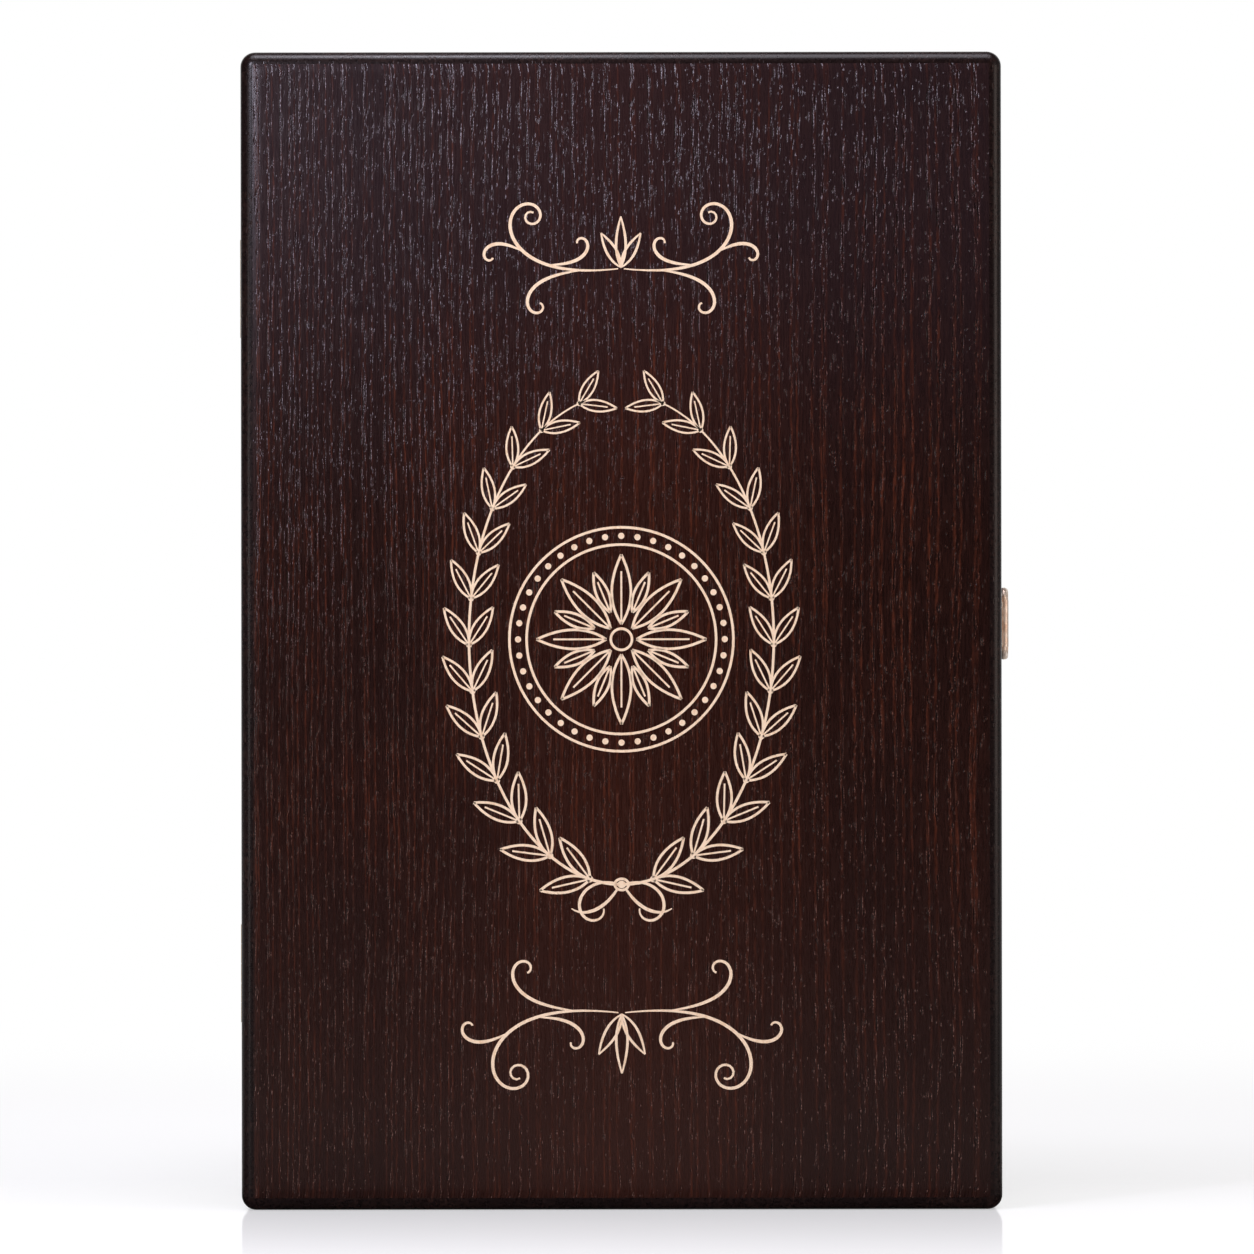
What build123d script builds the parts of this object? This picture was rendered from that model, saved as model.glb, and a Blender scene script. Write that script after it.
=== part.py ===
from build123d import *
import math
import os

# A presentation box in dark veneered board, standing on one short end.
# The lid is the front of the box. It swings on two butt hinges on the left side and is held shut on the
# right side by a wire bail, which hangs from the lid and drops over a sprung tongue on the base.
# X is the width, Y the depth with the front face towards -Y, and Z the height. The origin lies on the
# standing end, at mid width and mid depth. Sizes are in millimetres and degrees.

os.makedirs("parts", exist_ok=True)

# Carcass
box_width = 230.0
box_height = 350.0
lid_depth = 33.0
base_depth = 67.0
wall_thickness = 9.0
lid_panel_thickness = 8.0
back_panel_thickness = 6.0
corner_radius = 4.4
edge_round = 3.8
rim_chamfer = 0.4
seam_gap = 0.4
veneer_thickness = 0.6

# Lining
liner_thickness = 2.4
lip_height = 5.0
lip_clearance = 0.6
card_thickness = 2.0
card_clearance = 0.3
pad_thickness = 4.0
pad_edge_round = 2.0
pad_clearance = 0.4

# Hinges
hinge_inset = 70.0
hinge_length = 30.0
leaf_width = 7.2
leaf_thickness = 0.8
leaf_corner = 1.0
leaf_fit = 0.15
barrel_radius = 1.6
barrel_proud = 0.25
barrel_clearance = 0.25
knuckle_count = 5
knuckle_gap = 0.15
pin_radius = 0.75
pin_clearance = 0.04

# Hinge screws
screw_spacing = 17.0
screw_from_axis = 4.7
screw_radius = 0.9
screw_head_radius = 1.6
screw_length = 9.0
screw_tip = 1.5
screw_clearance = 0.06
drive_length = 1.7
drive_width = 0.4
drive_depth = 0.4

# Clasp plate on the lid, with the rolled knuckle that holds the bail
sheet_thickness = 0.5
clasp_plate_length = 12.5
clasp_plate_width = 19.0
clasp_plate_corner = 2.5
clasp_knuckle_length = 14.2
clasp_knuckle_from_seam = 8.0
clasp_knuckle_lift = 0.2
clasp_above_middle = 2.0
clasp_neck = 2.0

# Bail
wire_radius = 1.0
wire_clearance = 0.05
bail_width = 22.0
bail_reach = 20.0
bail_bend = 2.4
bail_butt_gap = 0.4
bail_lift = 4.6

# Keeper plate on the base, with its tongue
keeper_from_seam = 2.0
keeper_length = 17.0
keeper_width = 17.0
keeper_corner = 2.5
tongue_width = 9.0
tongue_length = 5.5
tongue_height = 1.5
tongue_slot = 0.4
tongue_clearance = 0.25

# Round-headed pins that hold both plates
nail_radius = 0.6
nail_head_radius = 1.3
nail_head_height = 0.6
nail_length = 7.0
nail_clearance = 0.05
nail_edge = 2.3

# Cuts run past the faces they open by this much
overrun = 1.0

# Places that follow from the sizes above
side_x = box_width / 2
mid_z = box_height / 2
front_y = -(lid_depth + base_depth) / 2
back_y = front_y + lid_depth + base_depth
seam_y = front_y + lid_depth
lid_rim_y = seam_y - seam_gap / 2
base_rim_y = seam_y + seam_gap / 2
lid_panel_y = front_y + lid_panel_thickness
back_panel_y = back_y - back_panel_thickness
inner_width = box_width - 2 * wall_thickness
inner_height = box_height - 2 * wall_thickness
hinge_x = -side_x - barrel_proud
hinge_heights = {"lower": hinge_inset, "upper": box_height - hinge_inset}
sides = ["hinge_side", "clasp_side", "top", "bottom"]
LID, BASE = -1, 1


def facing_front(y):
    """Plane at depth y that looks out of the front: its x runs along X, its y along Z."""
    return Plane.XZ.offset(-y)


def facing_depth(x, y, z, way):
    """Plane at a point, looking along +Y or -Y."""
    return Plane(origin=(x, y, z), x_dir=(1, 0, 0), z_dir=(0, way, 0))


def save(piece, name):
    """Labels a finished piece and writes it as its own STEP file."""
    piece.part.label = name
    export_step(piece.part, f"parts/{name}.step")


def mitred_side(side, width, height, thickness):
    """Corner points of one side of a mitred frame, seen from the front."""
    out_x, out_z = width / 2, height / 2
    in_x, in_z = out_x - thickness, out_z - thickness
    corners = {
        "hinge_side": [(-out_x, -out_z), (-in_x, -in_z), (-in_x, in_z), (-out_x, out_z)],
        "clasp_side": [(out_x, out_z), (in_x, in_z), (in_x, -in_z), (out_x, -out_z)],
        "top": [(-out_x, out_z), (-in_x, in_z), (in_x, in_z), (out_x, out_z)],
        "bottom": [(out_x, -out_z), (in_x, -in_z), (-in_x, -in_z), (-out_x, -out_z)],
    }
    return [(x, mid_z + z) for x, z in corners[side]]


def on_outline(edge):
    """True for an edge that lies on the outside of the box, and not on a mitre or an inner face."""
    middle = edge.center()
    across = abs(middle.X) - (side_x - corner_radius)
    along = abs(middle.Z - mid_z) - (mid_z - corner_radius)
    return max(across, along) > 0


# Panels: two overlaid boards close the frames, each with a rounded outer edge

def panel(outer_y, inner_y):
    """Board that closes the front or the back of the box, with its outer edge rounded over."""
    with BuildPart() as board:
        with BuildSketch(facing_front(max(outer_y, inner_y))):
            with Locations((0, mid_z)):
                RectangleRounded(box_width, box_height, corner_radius)
        extrude(amount=abs(outer_y - inner_y))
        outer_face = board.faces().filter_by(Axis.Y).sort_by(Axis.Y)[0 if outer_y < inner_y else -1]
        fillet(outer_face.edges(), edge_round)
    return board


veneer_width = box_width - 2 * edge_round
veneer_height = box_height - 2 * edge_round
veneer_corner = corner_radius - edge_round

with BuildPart() as lid_panel:
    add(panel(front_y, lid_panel_y).part)
    with BuildSketch(facing_front(front_y)):
        with Locations((0, mid_z)):
            RectangleRounded(veneer_width, veneer_height, veneer_corner)
    extrude(amount=-veneer_thickness, mode=Mode.SUBTRACT)
save(lid_panel, "lid_panel")

with BuildPart() as lid_veneer:
    with BuildSketch(facing_front(front_y + veneer_thickness)):
        with Locations((0, mid_z)):
            RectangleRounded(veneer_width, veneer_height, veneer_corner)
    extrude(amount=veneer_thickness)
save(lid_veneer, "lid_veneer")

back_panel = panel(back_y, back_panel_y)
save(back_panel, "back_panel")


# Hinge seats and pin holes, cut in the walls that carry the metalwork

def screw_places(height):
    """Heights of the screws in one hinge leaf."""
    return [height - screw_spacing / 2, height + screw_spacing / 2]


def cut_hinge_seats(way):
    """Cuts the leaf mortises, barrel coves and screw holes in the rim of the active hinge-side wall."""
    rim_y = seam_y + way * seam_gap / 2
    seat_width = leaf_width + barrel_proud + leaf_fit + overrun
    for height in hinge_heights.values():
        with Locations((hinge_x + leaf_width + leaf_fit - seat_width / 2, rim_y, height)):
            Box(seat_width, 2 * leaf_thickness, hinge_length + 2 * leaf_fit, mode=Mode.SUBTRACT)
        with Locations((hinge_x, seam_y, height)):
            Cylinder(
                barrel_radius + barrel_clearance,
                hinge_length + 2 * barrel_clearance,
                mode=Mode.SUBTRACT,
            )
        for place in screw_places(height):
            with Locations(facing_depth(hinge_x + screw_from_axis, rim_y, place, way)):
                Cylinder(
                    screw_radius + screw_clearance,
                    screw_length + screw_clearance,
                    align=(Align.CENTER, Align.CENTER, Align.MIN),
                    mode=Mode.SUBTRACT,
                )


def cut_nail_holes(places):
    """Drills the holes for the plate pins in the active clasp-side wall, at (y, z) places."""
    for y, z in places:
        with Locations(Plane(origin=(side_x, y, z), z_dir=(-1, 0, 0))):
            Cylinder(
                nail_radius + nail_clearance,
                nail_length + nail_clearance,
                align=(Align.CENTER, Align.CENTER, Align.MIN),
                mode=Mode.SUBTRACT,
            )


# Clasp places: the knuckle axis on the lid, then the bail's bar and the tongue behind it
clasp_bore = wire_radius + wire_clearance
clasp_barrel = clasp_bore + sheet_thickness
clasp_x = side_x + clasp_barrel + clasp_knuckle_lift
clasp_y = seam_y - clasp_knuckle_from_seam
clasp_z = mid_z + clasp_above_middle
clasp_plate_end = clasp_y - clasp_neck
clasp_plate_mid = clasp_plate_end - clasp_plate_length / 2
clasp_nails = [
    (clasp_plate_mid, clasp_z + way * (clasp_plate_width / 2 - nail_edge - nail_head_radius))
    for way in (-1, 1)
]
bar_y = clasp_y + bail_reach
tongue_tip_y = bar_y - wire_radius - tongue_clearance
tongue_root_y = tongue_tip_y - tongue_length
keeper_start = seam_y + keeper_from_seam
keeper_mid = keeper_start + keeper_length / 2
keeper_nails = [
    (y, clasp_z + way * (keeper_width / 2 - nail_edge))
    for y in (keeper_start + nail_edge, keeper_start + keeper_length - nail_edge)
    for way in (-1, 1)
]


# Walls: mitred boards, four in the lid and four in the base

def wall(side, front, back, way):
    """One mitred board of the lid or base frame, with an eased rim and the seats cut for its metalwork."""
    with BuildPart() as board:
        with BuildSketch(facing_front(back)):
            Polygon(*mitred_side(side, box_width, box_height, wall_thickness), align=None)
            with Locations((0, mid_z)):
                RectangleRounded(box_width, box_height, corner_radius, mode=Mode.INTERSECT)
        extrude(amount=back - front)
        rim = board.faces().filter_by(Axis.Y).sort_by(Axis.Y)[-1 if way == LID else 0]
        chamfer(rim.edges().filter_by(on_outline), rim_chamfer)
        if side == "hinge_side":
            cut_hinge_seats(way)
        if side == "clasp_side":
            cut_nail_holes(clasp_nails if way == LID else keeper_nails)
    return board


for side in sides:
    save(wall(side, lid_panel_y, lid_rim_y, LID), f"lid_wall_{side}")
    save(wall(side, base_rim_y, back_panel_y, BASE), f"base_wall_{side}")


# Lining: covered boards along the base walls, whose lip locates the lid, and two padded boards

def liner(side):
    """Lining board on one base wall. Above the rim its outer face is set in, to clear the lid."""
    with BuildPart() as board:
        with BuildSketch(facing_front(back_panel_y)):
            Polygon(*mitred_side(side, inner_width, inner_height, liner_thickness), align=None)
        extrude(amount=back_panel_y - base_rim_y)
        with BuildSketch(facing_front(base_rim_y)):
            lip = mitred_side(
                side,
                inner_width - 2 * lip_clearance,
                inner_height - 2 * lip_clearance,
                liner_thickness - lip_clearance,
            )
            Polygon(*lip, align=None)
        extrude(amount=lip_height)
    return board


for side in sides:
    save(liner(side), f"liner_{side}")


def card(width, height, seat_y, way):
    """Stiff card glued to a panel at seat_y. The way is +1 in the lid and -1 on the floor of the base."""
    with BuildPart() as sheet:
        with BuildSketch(facing_front(seat_y)):
            with Locations((0, mid_z)):
                Rectangle(width - 2 * card_clearance, height - 2 * card_clearance)
        extrude(amount=-way * card_thickness)
    return sheet


def pad(width, height, seat_y, way):
    """Padded cover on a card at seat_y, with the edges of its face rounded."""
    with BuildPart() as cover:
        with BuildSketch(facing_front(seat_y)):
            with Locations((0, mid_z)):
                Rectangle(width - 2 * pad_clearance, height - 2 * pad_clearance)
        extrude(amount=-way * pad_thickness)
        face = cover.faces().filter_by(Axis.Y).sort_by(Axis.Y)[-1 if way > 0 else 0]
        fillet(face.edges(), pad_edge_round)
    return cover


floor_width = inner_width - 2 * liner_thickness
floor_height = inner_height - 2 * liner_thickness
save(card(inner_width, inner_height, lid_panel_y, 1), "lid_lining_card")
save(pad(inner_width, inner_height, lid_panel_y + card_thickness, 1), "lid_lining_pad")
save(card(floor_width, floor_height, back_panel_y, -1), "floor_lining_card")
save(pad(floor_width, floor_height, back_panel_y - card_thickness, -1), "floor_lining_pad")


# Hinges: two leaves on a loose pin, the lid's leaf with the even knuckles and the base's with the odd ones

knuckle_length = (hinge_length - (knuckle_count - 1) * knuckle_gap) / knuckle_count


def knuckle_places(height, first):
    """Centres of every second knuckle of one hinge, from the first one given."""
    lowest = height - hinge_length / 2 + knuckle_length / 2
    step = knuckle_length + knuckle_gap
    return [(hinge_x, seam_y, lowest + step * index) for index in range(first, knuckle_count, 2)]


def hinge_leaf(way, height):
    """One leaf with its rolled knuckles, its pin bore and its countersunk screw holes."""
    own, mate = (1, 0) if way == LID else (0, 1)
    face_y = seam_y + way * seam_gap / 2
    with BuildPart() as leaf:
        with Locations((hinge_x + leaf_width / 2, face_y + way * leaf_thickness / 2, height)):
            Box(leaf_width, leaf_thickness, hinge_length)
        free_edge = leaf.edges().filter_by(Axis.Y).group_by(Axis.X)[-1]
        fillet(free_edge, leaf_corner)
        with Locations(*knuckle_places(height, own)):
            Cylinder(barrel_radius, knuckle_length)
        with Locations(*knuckle_places(height, mate)):
            Cylinder(
                barrel_radius + barrel_clearance,
                knuckle_length + 2 * knuckle_gap,
                mode=Mode.SUBTRACT,
            )
        with Locations((hinge_x, seam_y, height)):
            Cylinder(pin_radius + pin_clearance, hinge_length + overrun, mode=Mode.SUBTRACT)
        for place in screw_places(height):
            with Locations(facing_depth(hinge_x + screw_from_axis, face_y, place, -way)):
                CounterSinkHole(
                    screw_radius + screw_clearance,
                    screw_head_radius + screw_clearance,
                    depth=leaf_thickness + overrun,
                    counter_sink_angle=90,
                )
    return leaf


def hinge_pin(height):
    """Plain pin that fills the bore of one hinge."""
    with BuildPart() as pin:
        with Locations((hinge_x, seam_y, height)):
            Cylinder(pin_radius, hinge_length)
    return pin


for name, height in hinge_heights.items():
    save(hinge_leaf(LID, height), f"{name}_hinge_lid_leaf")
    save(hinge_leaf(BASE, height), f"{name}_hinge_base_leaf")
    save(hinge_pin(height), f"{name}_hinge_pin")


def hinge_screws(way):
    """All the countersunk screws of the lid's or the base's hinge leaves, driven in from the seam."""
    head_depth = screw_head_radius - screw_radius
    profile = [
        (0, 0),
        (screw_head_radius, 0),
        (screw_radius, -head_depth),
        (screw_radius, screw_tip - screw_length),
        (0, -screw_length),
    ]
    face_y = seam_y + way * seam_gap / 2
    with BuildPart() as screw:
        with BuildSketch(Plane.XZ):
            with BuildLine():
                Polyline(*profile, close=True)
            make_face()
        revolve(axis=Axis.Z)
        for angle in (0, 90):
            with Locations(Location((0, 0, 0), (0, 0, angle))):
                Box(drive_length, drive_width, 2 * drive_depth, mode=Mode.SUBTRACT)
    with BuildPart() as screws:
        for height in hinge_heights.values():
            for place in screw_places(height):
                with Locations(facing_depth(hinge_x + screw_from_axis, face_y, place, -way)):
                    add(screw.part)
    return screws


save(hinge_screws(LID), "lid_hinge_screws")
save(hinge_screws(BASE), "base_hinge_screws")


# Clasp: plate and knuckle on the lid, wire bail, keeper and tongue on the base

def cut_plate_holes(places):
    """Punches the pin holes in the active plate, which lies on the clasp side."""
    for y, z in places:
        with Locations(Plane(origin=(side_x, y, z), z_dir=(1, 0, 0))):
            Cylinder(nail_radius + nail_clearance, 2 * sheet_thickness + overrun, mode=Mode.SUBTRACT)


with BuildPart() as clasp_plate:
    with BuildSketch(Plane.YZ.offset(side_x)):
        with Locations((clasp_plate_mid, clasp_z)):
            RectangleRounded(clasp_plate_length, clasp_plate_width, clasp_plate_corner)
        with Locations((clasp_plate_end, clasp_z)):
            Rectangle(2 * clasp_neck, clasp_knuckle_length)
    extrude(amount=sheet_thickness)
    with Locations((clasp_x, clasp_y, clasp_z)):
        Cylinder(clasp_barrel, clasp_knuckle_length)
        Cylinder(clasp_bore, clasp_knuckle_length + overrun, mode=Mode.SUBTRACT)
    cut_plate_holes(clasp_nails)
save(clasp_plate, "clasp_plate")

lift = math.radians(bail_lift)
bail_plane = Plane(
    origin=(clasp_x, clasp_y, clasp_z),
    x_dir=(math.sin(lift), math.cos(lift), 0),
    z_dir=(math.cos(lift), -math.sin(lift), 0),
)
bail_half = bail_width / 2 - wire_radius

with BuildPart() as clasp_bail:
    with BuildLine(bail_plane) as loop:
        FilletPolyline(
            (0, bail_butt_gap / 2),
            (0, bail_half),
            (bail_reach, bail_half),
            (bail_reach, -bail_half),
            (0, -bail_half),
            (0, -bail_butt_gap / 2),
            radius=bail_bend,
        )
    with BuildSketch(Plane(origin=loop.line @ 0, z_dir=loop.line % 0)):
        Circle(wire_radius)
    sweep(path=loop.line)
save(clasp_bail, "clasp_bail")

with BuildPart() as keeper_plate:
    with BuildSketch(Plane.YZ.offset(side_x)):
        with Locations((keeper_mid, clasp_z)):
            RectangleRounded(keeper_length, keeper_width, keeper_corner)
        with Locations(((tongue_root_y + tongue_tip_y + tongue_slot) / 2, clasp_z)):
            Rectangle(
                tongue_length + tongue_slot,
                tongue_width + 2 * tongue_slot,
                mode=Mode.SUBTRACT,
            )
    extrude(amount=sheet_thickness)
    with BuildSketch(Plane.XY.offset(clasp_z - tongue_width / 2)):
        with BuildLine():
            Polyline(
                (side_x, tongue_root_y),
                (side_x + sheet_thickness, tongue_root_y),
                (side_x + sheet_thickness + tongue_height, tongue_tip_y),
                (side_x + tongue_height, tongue_tip_y),
                close=True,
            )
        make_face()
    extrude(amount=tongue_width)
    cut_plate_holes(keeper_nails)
save(keeper_plate, "keeper_plate")


def plate_nails(places):
    """Round-headed pins driven through a plate into the clasp side, at (y, z) places."""
    dome_radius = (nail_head_radius**2 + nail_head_height**2) / (2 * nail_head_height)
    half_turn = math.asin(nail_head_radius / dome_radius) / 2
    dome_drop = dome_radius * (1 - math.cos(half_turn))
    dome_middle = (dome_radius * math.sin(half_turn), nail_head_height - dome_drop)
    with BuildPart() as nail:
        with BuildSketch(Plane.XZ):
            with BuildLine():
                ThreePointArc((nail_head_radius, 0), dome_middle, (0, nail_head_height))
                Polyline(
                    (0, nail_head_height),
                    (0, -nail_length),
                    (nail_radius, nail_radius - nail_length),
                    (nail_radius, 0),
                    (nail_head_radius, 0),
                )
            make_face()
        revolve(axis=Axis.Z)
    with BuildPart() as nails:
        for y, z in places:
            with Locations(Plane(origin=(side_x + sheet_thickness, y, z), z_dir=(1, 0, 0))):
                add(nail.part)
    return nails


save(plate_nails(clasp_nails), "clasp_plate_nails")
save(plate_nails(keeper_nails), "keeper_nails")
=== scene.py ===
"""Dresses the presentation box and sets up the studio that it is pictured in.

The CAD solids are the fixed frame. The casework and the metal keep their solids and get finishes. The face
veneer and the velvet lining are made here, in place of their plain solids, and the lid gets its ornament.
Lengths are in metres, except where a name or a docstring says millimetres.
"""

import logging
import math
from dataclasses import dataclass
from enum import Enum
from typing import Iterable, Sequence, Union

import bmesh
import bpy
from bpy.types import Material, Mesh, Node, NodeSocket, NodeTree, Object
from mathutils import Matrix, Vector


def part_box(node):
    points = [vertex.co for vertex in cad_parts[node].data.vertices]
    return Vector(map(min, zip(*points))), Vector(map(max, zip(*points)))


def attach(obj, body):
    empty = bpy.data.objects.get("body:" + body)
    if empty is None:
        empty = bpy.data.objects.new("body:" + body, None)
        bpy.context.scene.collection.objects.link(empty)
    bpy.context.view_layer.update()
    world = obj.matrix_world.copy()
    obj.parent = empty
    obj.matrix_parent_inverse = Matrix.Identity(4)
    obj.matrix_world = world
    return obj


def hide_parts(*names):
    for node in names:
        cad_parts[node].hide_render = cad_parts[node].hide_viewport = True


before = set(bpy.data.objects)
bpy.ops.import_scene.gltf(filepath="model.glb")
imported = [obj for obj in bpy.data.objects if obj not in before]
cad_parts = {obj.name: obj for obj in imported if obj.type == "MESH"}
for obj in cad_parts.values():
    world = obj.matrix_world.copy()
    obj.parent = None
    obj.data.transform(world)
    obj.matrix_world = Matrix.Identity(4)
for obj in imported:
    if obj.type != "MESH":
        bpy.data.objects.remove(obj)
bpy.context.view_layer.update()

MM = 0.001

Size = Union[float, int]
Point = tuple[float, float]
Triple = tuple[float, float, float]
Colour = tuple[float, float, float, float]
Value = Union[NodeSocket, float, int, bool, str, Sequence[float]]

WHITE: Colour = (1.0, 1.0, 1.0, 1.0)
BLACK: Colour = (0.0, 0.0, 0.0, 1.0)
BOUNCE_GREY: Colour = (0.8, 0.8, 0.8, 1.0)
# Colour of the painted glints along the pores of the walls, highlights standing in for light caught on the
# pores' walls.
WALL_PAINTED_GLINT = "6a4b42"
# Heights above the box, so that the walls get no painted sheen.
ABOVE_THE_BOX: Point = (420.0, 520.0)
PLAIN_HEART: Point = (80.0, 0.03)
STROKE_WIDTH = "stroke_width"
SCROLL_WIDTHS: Triple = (0.45, 1.3, 0.75)
ORIGIN: Triple = (0.0, 0.0, 0.0)
LEAF_BELLY = 0.42
RIB_LENGTH = 0.76
RIB_WIDTH = 0.7
DOT_CORNERS = 14

log = logging.getLogger("presentation_box")


class Body(Enum):
    """The bodies that new pieces ride on."""

    BASE = "base"
    LID = "lid"


class Slot(Enum):
    """Names of two material slots, which nothing in this script uses."""

    FACE = "veneer_face"
    VELVET = "lining_velvet"


class Run(Enum):
    """The way that the grain of a board runs."""

    UPRIGHT = "upright"
    LEVEL = "level"


class Side(Enum):
    """The wall of the base that a lining board stands against."""

    HINGE = "hinge_side"
    CLASP = "clasp_side"
    TOP = "top"
    BOTTOM = "bottom"


def srgb(code: str) -> Colour:
    """Turns a screen colour into the linear colour that shaders take.

    Args:
        code: Six hexadecimal digits, red first.

    Returns:
        Linear red, green, blue and a full alpha.
    """
    channels = [int(code[start:start + 2], 16) / 255 for start in (0, 2, 4)]
    linear = [c / 12.92 if c <= 0.04045 else ((c + 0.055) / 1.055) ** 2.4 for c in channels]
    return (linear[0], linear[1], linear[2], 1.0)


class NodeGraph:
    """Adds nodes to one tree and joins them."""

    def __init__(self, tree: NodeTree) -> None:
        """Keeps the tree that the nodes go into."""
        self.tree = tree

    def add(self, kind: str, **settings: object) -> Node:
        """Adds one node.

        Args:
            kind: Blender's name for the node type.
            **settings: Properties of the node and their values.

        Returns:
            The new node.
        """
        node = self.tree.nodes.new(kind)
        for key, value in settings.items():
            setattr(node, key, value)
        return node

    def feed(self, socket: NodeSocket, value: Value) -> None:
        """Links a socket to another one, or sets its value.

        Args:
            socket: The input socket.
            value: An output socket, or a plain value.
        """
        if isinstance(value, NodeSocket):
            self.tree.links.new(value, socket)
        else:
            socket.default_value = value

    def join(self, kind: str, inputs: dict[Union[str, int], Value], **settings: object) -> NodeSocket:
        """Adds a node, feeds its inputs and gives its first output.

        Args:
            kind: Blender's name for the node type.
            inputs: Values or sockets by the name or the number of the input.
            **settings: Properties of the node and their values.

        Returns:
            The first output socket.
        """
        node = self.add(kind, **settings)
        for key, value in inputs.items():
            self.feed(node.inputs[key], value)
        return node.outputs[0]

    def row(self, kind: str, *values: Value, **settings: object) -> NodeSocket:
        """Adds a node, feeds its inputs in their order and gives its first output."""
        return self.join(kind, dict(enumerate(values)), **settings)

    def math(self, operation: str, *values: Value) -> NodeSocket:
        """Adds a Math node of that operation."""
        return self.row("ShaderNodeMath", *values, operation=operation)

    def times(self, first: Value, second: Value) -> NodeSocket:
        """Multiplies two numbers."""
        return self.math("MULTIPLY", first, second)

    def combine(self, x: Value, y: Value = 0.0, z: Value = 0.0) -> NodeSocket:
        """Joins three numbers into a vector socket."""
        return self.row("ShaderNodeCombineXYZ", x, y, z)

    def split(self, vector: NodeSocket) -> list[NodeSocket]:
        """Takes a vector socket apart into x, y and z."""
        return list(self.row("ShaderNodeSeparateXYZ", vector).node.outputs)


class ShaderGraph(NodeGraph):
    """Builds the node tree of a material or of the world."""

    def noise(
        self, vector: NodeSocket, scale: float, detail: float = 2.0, roughness: float = 0.5
    ) -> NodeSocket:
        """Adds noise about one half, with so many octaves, the fine ones of that strength."""
        inputs = {"Vector": vector, "Scale": scale, "Detail": detail, "Roughness": roughness}
        return self.join("ShaderNodeTexNoise", inputs)

    def cells(self, place: NodeSocket, spread: float = 1.0) -> tuple[NodeSocket, NodeSocket]:
        """Adds a field of scattered points, one to each unit cell.

        Args:
            place: The place in cells: a vector, or one number for points along a line.
            spread: How unevenly the points lie, from 0 to 1.

        Returns:
            The distance to the nearest point, and a random number for that point.
        """
        way, kind = ("W", "1D") if place.type == "VALUE" else ("Vector", "3D")
        inputs = {way: place, "Scale": 1.0, "Randomness": spread}
        node = self.join("ShaderNodeTexVoronoi", inputs, voronoi_dimensions=kind).node
        return node.outputs["Distance"], self.row("ShaderNodeSeparateColor", node.outputs["Color"])

    def stretch(self, across: NodeSocket, along: NodeSocket, cell: Point) -> NodeSocket:
        """Divides the places across and along the grain by the width and length of a cell."""
        return self.combine(self.math("DIVIDE", across, cell[0]), self.math("DIVIDE", along, cell[1]))

    def pores(self, place: NodeSocket, reach: Value) -> NodeSocket:
        """Scatters one shape of pore.

        Args:
            place: Places in cells of one pore each.
            reach: A factor on the pores' size, from 0 to 1.

        Returns:
            The socket of the dip, from 0 at a pore's brim to 1 at its middle.
        """
        distance, chance = self.cells(place)
        size = self.times(self.ramp(chance, 0.12, 1.0, 0.08, 0.84), reach)
        return self.ramp(self.math("DIVIDE", distance, size), 1.0, 0.0)

    def ramp(
        self, value: NodeSocket, low: float, high: float, start: float = 0.0, end: float = 1.0
    ) -> NodeSocket:
        """Maps the range from low to high smoothly onto the one from start to end."""
        kind = "ShaderNodeMapRange"
        return self.row(kind, value, low, high, start, end, interpolation_type="SMOOTHSTEP")

    def tint(self, factor: Value, first: Value, second: Value) -> NodeSocket:
        """Mixes two colours, with that share of the second."""
        inputs = {0: factor, 6: first, 7: second}
        return self.join("ShaderNodeMix", inputs, data_type="RGBA").node.outputs[2]


class MaterialGraph(ShaderGraph):
    """Builds one material around a Principled shader."""

    def __init__(self, name: str) -> None:
        """Makes an empty material.

        Args:
            name: The material's name.
        """
        self.material: Material = bpy.data.materials.new(name)
        self.material.use_nodes = True
        super().__init__(self.material.node_tree)
        self.shader: Node = self.tree.nodes["Principled BSDF"]

    def surface(self, **inputs: Value) -> None:
        """Feeds the shader's sockets, named with an underscore for each space."""
        for key, value in inputs.items():
            self.feed(self.shader.inputs[key.replace("_", " ")], value)

    def millimetres(self) -> list[NodeSocket]:
        """Gives the object's own x, y and z in millimetres."""
        inputs = {"Vector": self.add("ShaderNodeTexCoord").outputs["Object"], "Scale": 1 / MM}
        return self.split(self.join("ShaderNodeVectorMath", inputs, operation="SCALE"))

    def place(self, draw: float = 1.0) -> NodeSocket:
        """Gives the place on the object in millimetres, with z times a factor."""
        x, y, z = self.millimetres()
        return self.combine(x, y, self.times(z, draw))

    def bump(self, height: NodeSocket, depth: float) -> None:
        """Bumps the surface by a height of 0 to 1, where 1 is the depth in millimetres."""
        inputs = {"Height": height, "Distance": depth * MM, "Strength": 1.0}
        self.surface(Normal=self.join("ShaderNodeBump", inputs))


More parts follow.
